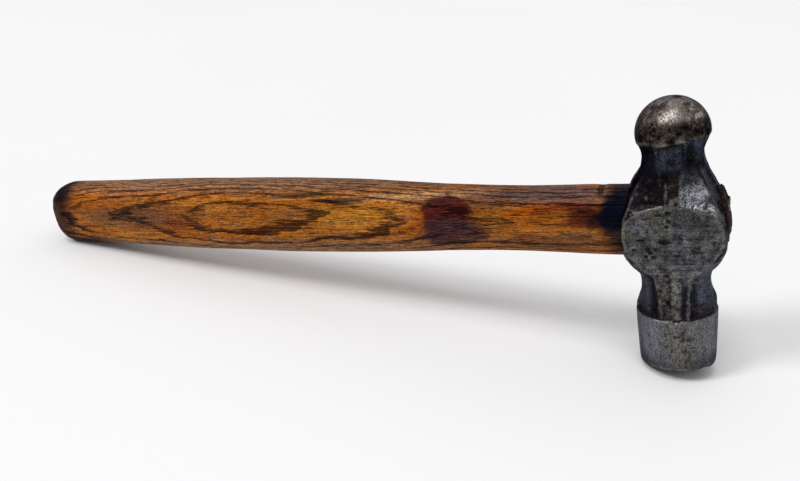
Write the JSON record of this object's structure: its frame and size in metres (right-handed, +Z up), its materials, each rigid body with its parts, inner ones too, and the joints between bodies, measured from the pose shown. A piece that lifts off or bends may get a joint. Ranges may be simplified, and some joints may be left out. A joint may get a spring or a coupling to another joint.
{
  "type": "ball peen hammer",
  "caption": "Bench hammer for metalwork: forged head with a flat striking face and a round peen, on an oval wooden handle held by wedges.",
  "frame": {"origin": "on the bench under the middle of the hammer's box, with the hammer at rest on one edge of its striking face and on its butt", "axes": "+X from the butt towards the head, +Y through the cheeks, +Z up"},
  "size_m": [0.3082, 0.0284, 0.1007],
  "materials": {
    "forged_steel": "old dark forged steel, ground bright on the cheeks, with brown patina and fine pitting",
    "handle_wood": "worn oiled ring-porous wood with dark open grain and old stains",
    "wedge_wood": "dry end grain, dirty",
    "wedge_steel": "rusty mild steel"
  },
  "bodies": {
    "root": {"hammer_head": "forged_steel", "handle": "handle_wood", "wooden_wedge": "wedge_wood", "steel_wedge_lower": "wedge_steel", "steel_wedge_upper": "wedge_steel"}
  },
  "joints": []
}
